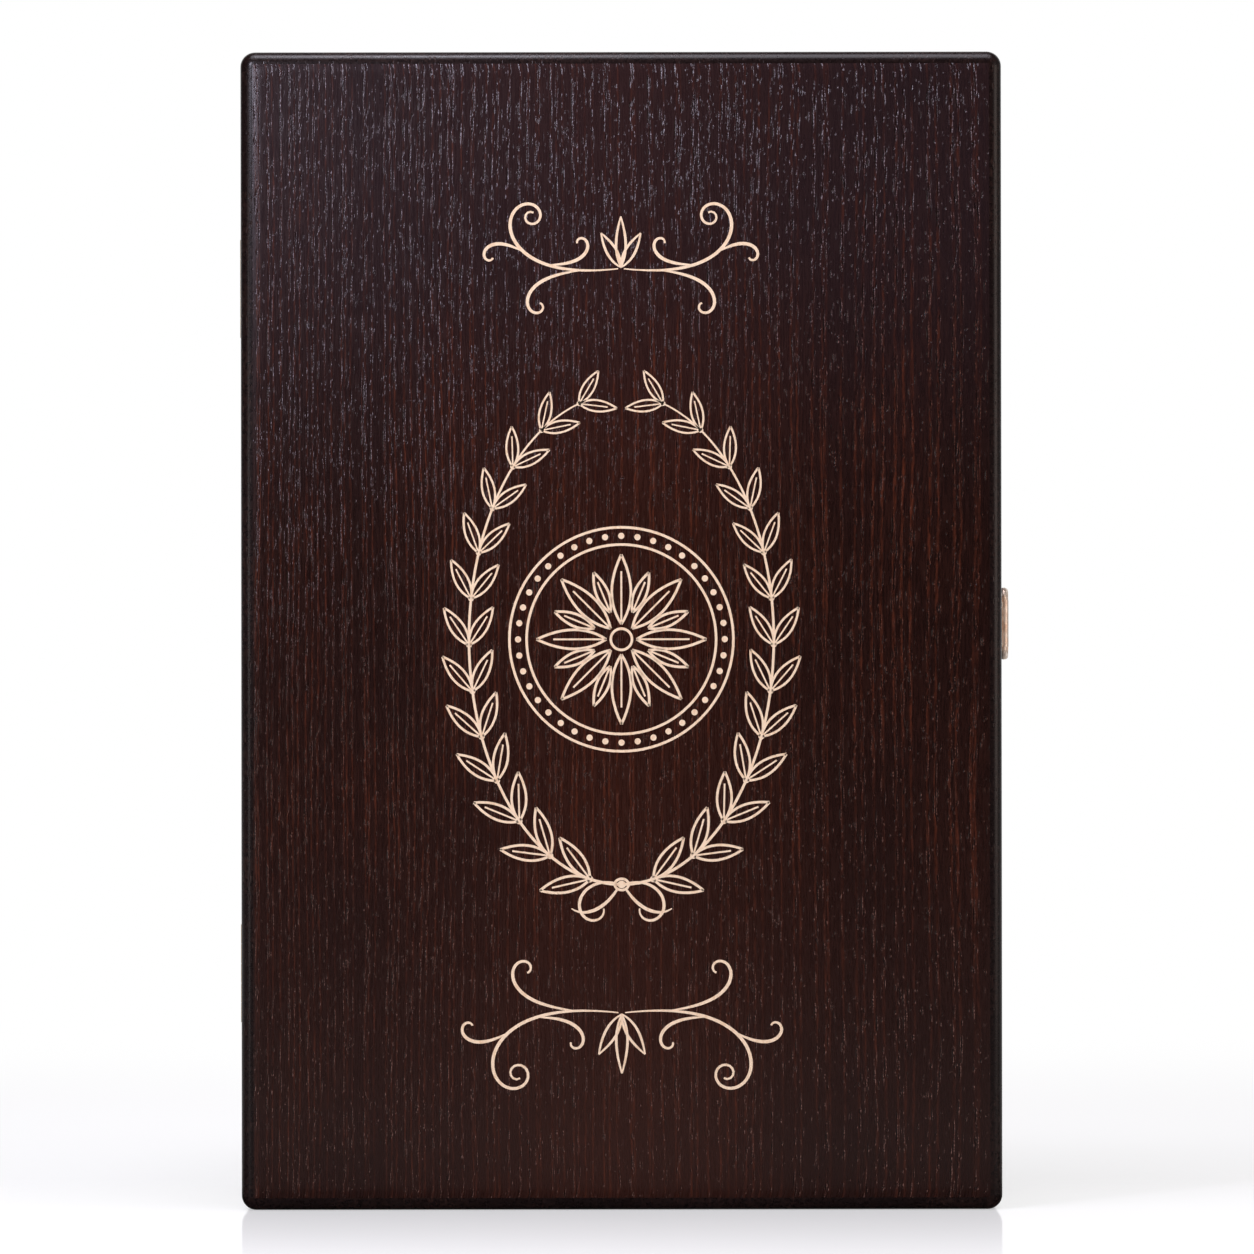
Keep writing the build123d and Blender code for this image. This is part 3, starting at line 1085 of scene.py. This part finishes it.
    def _lines(self) -> Object:
        """Inlays the free lines: flourishes, branches, tie and rings.

        Returns:
            The piece.
        """
        strokes: list[Stroke] = []
        for centre, scale, way in self.flourishes:
            strokes += self._flourish(centre - self.wreath_drop, scale, way)
        strokes += [self._branch(1), self._branch(-1), *self._bow()]
        strokes += [self._circle(radius) for radius in self.rings]
        graph = GeometryGraph("InlaidLine", self._sizes())
        widths = graph.join("GeometryNodeInputNamedAttribute", {"Name": STROKE_WIDTH}, data_type="FLOAT")
        curve = graph.join("GeometryNodeMeshToCurve", {"Mesh": graph.size("Geometry")})
        graph.finish([graph.ribbon(curve, widths)], self.fill)
        return self._inlay(graph, "inlaid_lines", strokes)

    def _host(self, name: str, strokes: Sequence[Stroke]) -> Mesh:
        """Makes the wire mesh that a tree starts from.

        Args:
            name: The mesh's name.
            strokes: The lines to draw, each a little above the one before it.

        Returns:
            The mesh, with the width of the line at each of its points.
        """
        points: list[Triple] = []
        edges: list[tuple[int, int]] = []
        widths: list[float] = []
        for row, stroke in enumerate(strokes):
            first = len(points)
            count = len(stroke.points)
            points += [(x, y, self.layer * row) for x, y in stroke.points]
            edges += [(first + step, first + step + 1) for step in range(count - 1)]
            if stroke.closed:
                edges.append((first + count - 1, first))
            widths += [stroke.width(step / (count - 1)) for step in range(count)]
        mesh = bpy.data.meshes.new(f"{name}_wire")
        mesh.from_pydata(points, edges, [])
        mesh.attributes.new(STROKE_WIDTH, "FLOAT", "POINT").data.foreach_set("value", widths)
        return mesh

    def _leaves(self) -> Object:
        """Sets pairs of leaves and berries along both branches of the wreath.

        Returns:
            The piece.
        """
        graph = GeometryGraph("LaurelSprig", self._sizes(
            Pairs=13, Leaf_Length=15.5, Leaf_Width=4.6, Spread=0.58, Last_Size=0.72, Berry=1.0,
        ))
        curve = graph.join("GeometryNodeMeshToCurve", {"Mesh": graph.size("Geometry")})
        inputs = {"Curve": curve, "Count": graph.size("Pairs")}
        row = graph.join("GeometryNodeCurveToPoints", inputs, mode="COUNT").node
        points = row.outputs["Points"]
        heading = graph.heading(row.outputs["Tangent"])
        number = graph.math("MODULO", graph.join("GeometryNodeInputIndex", {}), graph.size("Pairs"))
        share = graph.math("DIVIDE", number, graph.size("Pairs"))
        shrink = graph.math("SUBTRACT", graph.size("Last Size"), 1.0)
        scale = graph.math("MULTIPLY_ADD", share, shrink, 1.0)
        leaf = graph.leaf()
        pieces = []
        for sign in (1.0, -1.0):
            angle = graph.math("MULTIPLY_ADD", graph.size("Spread"), sign, heading)
            pieces.append(graph.scatter(points, leaf, angle, scale))
        pieces.append(graph.scatter(points, graph.dot("Berry"), heading, scale))
        graph.finish(pieces, self.fill)
        branches = [self._branch(way, self.bare_foot) for way in (1, -1)]
        return self._inlay(graph, "laurel_leaves", branches)

    def _rosette(self) -> list[Object]:
        """Inlays the two rings of petals.

        Returns:
            The pieces.
        """
        graph = GeometryGraph("PetalRing", self._sizes(
            Petals=8, Start_Radius=4.6, Leaf_Length=21.0, Leaf_Width=5.8, Turn=0.0,
        ))
        ring, heading = graph.ring("Petals", "Start Radius")
        turn = graph.combine(0.0, 0.0, graph.size("Turn"))
        turned = {"Geometry": graph.scatter(ring, graph.leaf(), heading), "Rotation": turn}
        graph.finish([graph.join("GeometryNodeTransform", turned)], self.fill)
        pieces = []
        for name, start, length, width, angle in self.petals:
            sizes = {"Start_Radius": start, "Leaf_Length": length, "Leaf_Width": width, "Turn": angle}
            pieces.append(self._inlay(graph, name, [self._circle(start)], **sizes))
        return pieces

    def _beads(self) -> Object:
        """Inlays the ring of beads.

        Returns:
            The piece.
        """
        sizes = self._sizes(Beads=40, Ring_Radius=self.bead_ring, Bead_Radius=0.95)
        graph = GeometryGraph("BeadRing", sizes)
        ring, heading = graph.ring("Beads", "Ring Radius")
        graph.finish([graph.scatter(ring, graph.dot("Bead Radius"), heading)], self.fill)
        return self._inlay(graph, "bead_ring", [self._circle(self.bead_ring)])


@dataclass
class LidFace:
    """The veneered face of the lid, which eases into the rounded edge. Lengths are in millimetres.

    The corners' radius grows by the easing for each millimetre inwards, over the width of the fall.
    """

    node: str = "lid_veneer"
    corner: float = 0.6
    easing: float = 0.6
    crown: float = 0.36
    fall: float = 3.2
    fall_steps: int = 8

    def build(self, veneer: Material, fill: Material) -> list[Object]:
        """Makes the face and its ornament.

        Args:
            veneer: The face's finish.
            fill: The ornament's finish.

        Returns:
            The pieces.
        """
        low, high = (Vector(corner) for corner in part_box(self.node))
        middle = (low + high) / 2
        half = ((high.x - low.x) / 2, (high.z - low.z) / 2)
        levels = [(0.0, high.y, self.corner)]
        for step in range(self.fall_steps + 1):
            share = step / self.fall_steps
            inset = self.fall * share
            drop = self.crown * (1 - (1 - share) ** 2)
            levels.append((inset * MM, low.y - drop * MM, self.corner + inset * self.easing))
        rings = []
        for inset, y, corner in levels:
            loop = rounded_loop((half[0] - inset, half[1] - inset), corner * MM)
            rings.append([(middle.x + x, y, middle.z + z) for x, z in loop])
        face = loft("face_veneer", rings, veneer)
        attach(face, Body.LID.value)
        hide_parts(self.node)
        ornament = Ornament(fill, low.y - self.crown * MM, middle.z)
        return [face, *ornament.build()]


@dataclass
class Casework:
    """The stained boards of the lid and the base."""

    upright: tuple[str, ...] = (
        "lid_wall_hinge_side", "lid_wall_clasp_side",
        "base_wall_hinge_side", "base_wall_clasp_side", "back_panel",
    )
    level: tuple[str, ...] = ("lid_wall_top", "lid_wall_bottom", "base_wall_top", "base_wall_bottom")
    edges: tuple[str, ...] = ("lid_panel",)

    def dress(self, upright: Material, level: Material, edge: Material) -> None:
        """Gives each board the finish for the way that its grain runs.

        Args:
            upright: The finish of boards with upright grain.
            level: The finish of boards with level grain.
            edge: The finish of the lid's rounded edge.
        """
        dress(self.upright, upright)
        dress(self.level, level)
        dress(self.edges, edge)


@dataclass
class Metalwork:
    """The clasp, its keeper, and the hinges."""

    clasp: tuple[str, ...] = (
        "clasp_plate", "clasp_bail", "keeper_plate", "clasp_plate_nails", "keeper_nails",
    )
    hinges: tuple[str, ...] = (
        "upper_hinge_lid_leaf", "upper_hinge_base_leaf", "upper_hinge_pin", "lid_hinge_screws",
        "lower_hinge_lid_leaf", "lower_hinge_base_leaf", "lower_hinge_pin", "base_hinge_screws",
    )

    def dress(self, plated: Material, brass: Material) -> None:
        """Gives the clasp its plated finish and the hinges their brass."""
        dress(self.clasp, plated)
        dress(self.hinges, brass)


@dataclass
class Pad:
    """A velvet pad on its card, swollen by its filling. Lengths are in millimetres.

    Attributes:
        node: The plain solid that the pad replaces.
        name: The pad's own name.
        body: The body that it rides on.
        way: 1 where the pad faces the back of the box and -1 where it faces the front.
        round_over: How wide the edge's rounding is.
        edge_lines: The shares of that width at which mesh lines lie.
        crown: How far the middle swells.
        cell: The spacing of the mesh.
        crease: The degrees past which an edge stays sharp.
        frames: The frames that the cloth swells for.
        pressure: The pressure under the cloth.
        weight: The cloth's mass.
    """

    node: str
    name: str
    body: Body
    way: int
    round_over: float = 3.0
    edge_lines: tuple[float, ...] = (0.0, 0.06, 0.18, 0.36, 0.62, 1.0)
    crown: float = 2.2
    cell: float = 4.6
    crease: float = 60.0
    frames: int = 20
    pressure: float = 4.0
    weight: float = 0.3

    def build(self, velvet: Material) -> Object:
        """Makes the pad.

        Args:
            velvet: The pad's finish.

        Returns:
            The piece.
        """
        low, high = (Vector(corner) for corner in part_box(self.node))
        columns = self._lines(low.x, high.x)
        rows = self._lines(low.z, high.z)
        back = low.y if self.way > 0 else high.y
        rise = self.way * (high.y - low.y)
        points = []
        for z in rows:
            for x in columns:
                lift = self._edge(x - low.x, high.x - x) * self._edge(z - low.z, high.z - z)
                points.append((x, back + rise * lift, z))
        wide, tall = len(columns), len(rows)
        faces: list[Sequence[int]] = []
        for row in range(tall - 1):
            for column in range(wide - 1):
                corner = row * wide + column
                faces.append((corner, corner + 1, corner + wide + 1, corner + wide))
        rim = list(range(wide))
        rim += [row * wide + wide - 1 for row in range(1, tall)]
        rim += [(tall - 1) * wide + column for column in range(wide - 2, -1, -1)]
        rim += [row * wide for row in range(tall - 2, 0, -1)]
        faces.append(rim)
        pad = skin(self.name, points, faces, velvet)
        self._swell(pad, rim)
        close_up(pad.data, self.crease)
        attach(pad, self.body.value)
        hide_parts(self.node)
        return pad

    def _lines(self, start: float, end: float) -> list[float]:
        """Spaces the mesh lines between two ends, closer together near them.

        Args:
            start: The first line.
            end: The last line.

        Returns:
            The lines' places.
        """
        near = [share * self.round_over * MM for share in self.edge_lines]
        inner = end - start - 2 * near[-1]
        count = max(2, round(inner / (self.cell * MM)))
        places = [start + step for step in near]
        places += [start + near[-1] + inner * step / count for step in range(1, count)]
        return places + [end - step for step in reversed(near)]

    def _edge(self, first: float, second: float) -> float:
        """Gives the share of the full height between two sides, from the distance to each."""
        share = min(first, second, self.round_over * MM) / (self.round_over * MM)
        return math.sqrt(max(0.0, 1 - (1 - share) ** 2))

    def _swell(self, pad: Object, rim: Sequence[int]) -> None:
        """Blows the pad up as cloth that is held at its rim, and keeps the result.

        Args:
            pad: The pad.
            rim: The numbers of the points at the rim.
        """
        held = pad.vertex_groups.new(name="held")
        held.add(list(rim), 1.0, "REPLACE")
        cloth = pad.modifiers.new("Swelling", "CLOTH")
        settings = cloth.settings
        settings.quality = 5
        settings.mass = self.weight
        settings.use_pressure = True
        settings.uniform_pressure_force = self.pressure
        settings.effector_weights.gravity = 0.0
        settings.vertex_group_mass = held.name
        cloth.collision_settings.use_collision = False
        scene = bpy.context.scene
        for step in range(self.frames):
            scene.frame_set(step + 1)
        swollen = pad.evaluated_get(bpy.context.evaluated_depsgraph_get()).data
        moves = [after.co - before.co for after, before in zip(swollen.vertices, pad.data.vertices)]
        most = max(max(move.length for move in moves), 1e-9)
        share = min(1.0, self.crown * MM / most)
        for vertex, move in zip(pad.data.vertices, moves):
            vertex.co += move * share
        pad.modifiers.remove(cloth)
        pad.vertex_groups.clear()
        scene.frame_set(1)
        log.info("%s swelled %.2f mm, kept %.2f mm", pad.name, most / MM, most * share / MM)


@dataclass
class LinerBoard:
    """A velvet-covered board along one wall of the base, with a rounded lip. Lengths are in millimetres."""

    side: Side
    step: float = 6.0
    nose_steps: int = 8

    def build(self, velvet: Material) -> Object:
        """Makes the board.

        Args:
            velvet: The board's finish.

        Returns:
            The piece.
        """
        node = f"liner_{self.side.value}"
        low, high = (Vector(corner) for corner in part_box(node))
        upright = self.side in (Side.HINGE, Side.CLASP)
        thick = (high.x - low.x) if upright else (high.z - low.z)
        start, end = (low.z, high.z) if upright else (low.x, high.x)
        section = self._section(thick, low.y, high.y)
        count = max(2, round((end - start) / (self.step * MM)))
        rings = []
        for station in range(count + 1):
            share = station / count
            ring = []
            for depth, y in section:
                run = (start + depth) * (1 - share) + (end - depth) * share
                ring.append(self._place(depth, y, run, low, high))
            rings.append(ring)
        board = loft(f"velvet_liner_{self.side.value}", rings, velvet)
        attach(board, Body.BASE.value)
        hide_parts(node)
        return board

    def _section(self, thick: float, lip: float, floor: float) -> list[Point]:
        """Gives the board's section as distances from the wall and depths in the box.

        Args:
            thick: The board's thickness.
            lip: Where the lip ends.
            floor: Where the board ends at the back.

        Returns:
            The section's points.
        """
        radius = thick / 2
        section = [(0.0, floor), (thick, floor)]
        for step in range(self.nose_steps + 1):
            angle = math.pi * step / self.nose_steps
            section.append((radius + radius * math.cos(angle), lip + radius - radius * math.sin(angle)))
        return section

    def _place(self, depth: float, y: float, run: float, low: Vector, high: Vector) -> Triple:
        """Puts a point of the section in the box, from its depth off the wall and its run along it."""
        return {
            Side.HINGE: (low.x + depth, y, run),
            Side.CLASP: (high.x - depth, y, run),
            Side.TOP: (run, y, high.z - depth),
            Side.BOTTOM: (run, y, low.z + depth),
        }[self.side]


@dataclass
class Lining:
    """The velvet lining of the lid and the base, and the cards under it."""

    cards: tuple[str, ...] = ("lid_lining_card", "floor_lining_card")

    def build(self, velvet: Material, card: Material) -> list[Object]:
        """Makes the lining.

        Args:
            velvet: The finish of the pads and boards.
            card: The finish of the cards.

        Returns:
            The pieces.
        """
        dress(self.cards, card)
        pads = (
            Pad("lid_lining_pad", "lid_velvet_pad", Body.LID, 1),
            Pad("floor_lining_pad", "floor_velvet_pad", Body.BASE, -1),
        )
        return [pad.build(velvet) for pad in pads] + [LinerBoard(side).build(velvet) for side in Side]


@dataclass(frozen=True)
class Softbox:
    """A soft lamp that looks at the box.

    Attributes:
        name: The lamp's name.
        azimuth: Degrees to the right of straight ahead of the box.
        elevation: Degrees above the middle of the box.
        distance: The distance from the middle of the box.
        size: Width and height.
        radiance: How bright its face is, where 1 is paper white.
        colour: The lamp's colour.
        mirrored: Whether glossy surfaces show the lamp.
    """

    name: str
    azimuth: float
    elevation: float
    distance: float
    size: Point
    radiance: float
    colour: Triple = (1.0, 1.0, 1.0)
    mirrored: bool = True

    def hang(self, target: Vector) -> None:
        """Hangs the lamp.

        Args:
            target: The point that it looks at.
        """
        lamp = bpy.data.lights.new(self.name, "AREA")
        lamp.shape = "RECTANGLE"
        lamp.size, lamp.size_y = self.size
        lamp.energy = math.pi * self.size[0] * self.size[1] * self.radiance
        lamp.color = self.colour
        holder = bpy.data.objects.new(self.name, lamp)
        azimuth, elevation = math.radians(self.azimuth), math.radians(self.elevation)
        flat = math.cos(elevation)
        way = Vector((math.sin(azimuth) * flat, -math.cos(azimuth) * flat, math.sin(elevation)))
        holder.location = target + way * self.distance
        holder.rotation_euler = way.to_track_quat("Z", "Y").to_euler()
        holder.visible_camera = False
        holder.visible_glossy = self.mirrored
        bpy.context.scene.collection.objects.link(holder)


@dataclass
class Studio:
    """The white sweep, the lamps and the camera.

    The lens and the sensor are in millimetres. So are the pairs of the floor, between which its shadow, its
    gloss and the glow that only reflections see rise or fall: by the distance where they are named reach, and
    by y elsewhere.
    """

    eye: Triple = (0.0017, -2.05, 0.1761)
    aim: Triple = (0.0, -0.05, 0.175)
    lens: float = 190.2
    roll: float = 0.075
    sensor: float = 36.0
    room: float = 0.26
    floor_half: float = 6.0
    floor_shadow: float = 0.36
    shadow_reach: Point = (350.0, 900.0)
    floor_gloss: float = 0.33
    far_gloss: float = 0.05
    gloss_reach: Point = (250.0, 500.0)
    gloss_rise: Point = (-270.0, -40.0)
    gloss_fall: Point = (-30.0, 80.0)
    gloss_roughness: float = 0.09
    dim_glow: float = 0.02
    front_glow: float = 0.34
    back_glow: float = 0.5
    glow_rise: Point = (-650.0, -400.0)
    glow_fall: Point = (-150.0, -70.0)
    glow_behind: Point = (-50.0, 60.0)
    lamps: tuple[Softbox, ...] = (
        Softbox("near_left_softbox", -33.0, 29.0, 0.64, (0.09, 0.14), 48.0, (0.84, 0.82, 1.0)),
        Softbox("upper_left_softbox", -34.0, 78.0, 0.69, (0.07, 0.12), 24.0, (0.9, 0.87, 1.0)),
        Softbox("left_strip_softbox", -48.0, 0.0, 0.8, (0.1, 0.34), 4.6, (1.0, 0.94, 0.92)),
        Softbox("overhead_softbox", 0.0, 80.0, 0.9, (0.8, 0.5), 5.4, (0.93, 0.9, 1.0)),
        Softbox("right_softbox", 68.0, 7.0, 0.95, (0.42, 0.5), 2.4, (1.0, 0.82, 0.74)),
        Softbox("back_fill", 180.0, 12.0, 1.25, (0.9, 0.6), 3.0, mirrored=False),
    )

    def build(self) -> None:
        """Sets up the studio."""
        scene = bpy.context.scene
        scene.view_settings.view_transform = "Standard"
        camera = bpy.data.cameras.new("portrait_camera")
        camera.lens = self.lens
        camera.sensor_width = self.sensor
        holder = bpy.data.objects.new("portrait_camera", camera)
        holder.location = self.eye
        holder.rotation_euler = (math.pi / 2, math.radians(self.roll), 0.0)
        scene.collection.objects.link(holder)
        scene.camera = holder
        for lamp in self.lamps:
            lamp.hang(Vector(self.aim))
        self._sweep()
        self._room()

    @staticmethod
    def _rays(graph: ShaderGraph) -> tuple[NodeSocket, NodeSocket]:
        """Tells rays apart.

        Args:
            graph: The tree's graph.

        Returns:
            The socket that is 1 for the camera's rays, and the one that is 1 for mirrored and refracted rays.
        """
        path = graph.add("ShaderNodeLightPath")
        mirrored = graph.math("MAXIMUM", path.outputs["Is Glossy Ray"], path.outputs["Is Transmission Ray"])
        return path.outputs["Is Camera Ray"], mirrored

    def _sweep(self) -> None:
        """Lays the white floor, which keeps the shadow and a faint reflection of the box."""
        half = self.floor_half
        corners = [(-half, -half, 0.0), (half, -half, 0.0), (half, half, 0.0), (-half, half, 0.0)]
        mesh = bpy.data.meshes.new("floor")
        mesh.from_pydata(corners, [], [(0, 1, 2, 3)])
        floor = piece_of("floor", mesh)
        graph = MaterialGraph("white_sweep")
        mesh.materials.append(graph.material)
        graph.tree.nodes.remove(graph.shader)
        camera, mirrored = self._rays(graph)
        x, y, _ = graph.millimetres()
        reach = graph.math("SQRT", graph.math("ADD", graph.times(x, x), graph.times(y, y)))
        near = graph.ramp(reach, *self.shadow_reach, self.floor_shadow, 0.0)
        matt = graph.join("ShaderNodeBsdfDiffuse", {"Color": graph.tint(near, BLACK, WHITE)})
        white = graph.row("ShaderNodeEmission", WHITE, graph.math("SUBTRACT", 1.0, near))
        gloss = graph.join("ShaderNodeBsdfGlossy", {"Color": WHITE, "Roughness": self.gloss_roughness})
        fade = graph.ramp(y, *self.gloss_rise, self.far_gloss, self.floor_gloss)
        for way, ends in ((y, self.gloss_fall), (reach, self.gloss_reach)):
            fade = graph.math("MINIMUM", fade, graph.ramp(way, *ends, self.floor_gloss, 0.0))
        seen = graph.row("ShaderNodeMixShader", fade, graph.row("ShaderNodeAddShader", matt, white), gloss)
        # Painted light for reflections only: the floor glows in a band in front of the box, which gives the
        # lower face its sheen, and dims close in front of the box as painted contact shade.
        rise = graph.ramp(y, *self.glow_rise, self.dim_glow, self.front_glow)
        fall = graph.ramp(y, *self.glow_fall, self.front_glow, self.dim_glow)
        behind = graph.ramp(y, *self.glow_behind, 0.0, self.back_glow)
        glow = graph.math("MAXIMUM", graph.math("MINIMUM", rise, fall), behind)
        front = graph.row("ShaderNodeEmission", WHITE, glow)
        bounce = graph.join("ShaderNodeBsdfDiffuse", {"Color": BOUNCE_GREY})
        unseen = graph.row("ShaderNodeMixShader", mirrored, bounce, front)
        output = graph.tree.nodes["Material Output"]
        graph.feed(output.inputs["Surface"], graph.row("ShaderNodeMixShader", camera, unseen, seen))

    def _room(self) -> None:
        """Sets the room: white to the camera and in reflections behind the box, else a plain light."""
        world = bpy.data.worlds.new("studio_room")
        world.use_nodes = True
        bpy.context.scene.world = world
        graph = ShaderGraph(world.node_tree)
        camera, mirrored = self._rays(graph)
        x, y, _ = graph.split(graph.add("ShaderNodeTexCoord").outputs["Generated"])
        behind = graph.ramp(y, 0.5, 1.0, 0.01, 1.0)
        beside = graph.math("MAXIMUM", behind, graph.ramp(x, 0.35, 0.85, 0.0, 0.18))
        level = graph.math("MULTIPLY_ADD", mirrored, graph.math("SUBTRACT", beside, self.room), self.room)
        back = graph.tree.nodes["Background"]
        graph.feed(back.inputs["Color"], WHITE)
        graph.feed(back.inputs["Strength"], graph.math("MAXIMUM", level, camera))


def main() -> None:
    """Builds the studio and the box's pieces in order, and reports them."""
    logging.basicConfig(level=logging.INFO, format="%(name)s: %(message)s")
    Studio().build()
    face = OpenPoreVeneer("face_veneer_stain", Run.UPRIGHT, widening=0.00145).make()
    walls = {"lip": WALL_PAINTED_GLINT, "painted_sheen_heights": ABOVE_THE_BOX, "heart": PLAIN_HEART}
    upright = OpenPoreVeneer("upright_board_stain", Run.UPRIGHT, **walls).make()
    level = OpenPoreVeneer("level_board_stain", Run.LEVEL, **walls).make()
    Casework().dress(upright, level, EdgeLacquer("edge_lacquer").make())
    plated = Metal("rose_bronze_plate", "fff0e0", "ecccb2", 0.44, 0.8).make()
    Metalwork().dress(plated, Metal("hinge_brass", "c9a468", "8f6f42", 0.32).make())
    pieces = LidFace().build(face, InlaidFill("inlaid_fill").make())
    pieces += Lining().build(Velvet("navy_velvet").make(), Card("lining_card").make())
    for piece in pieces:
        log.info("built %s with %d faces", piece.name, len(piece.data.polygons))


if __name__ == "__main__":
    main()
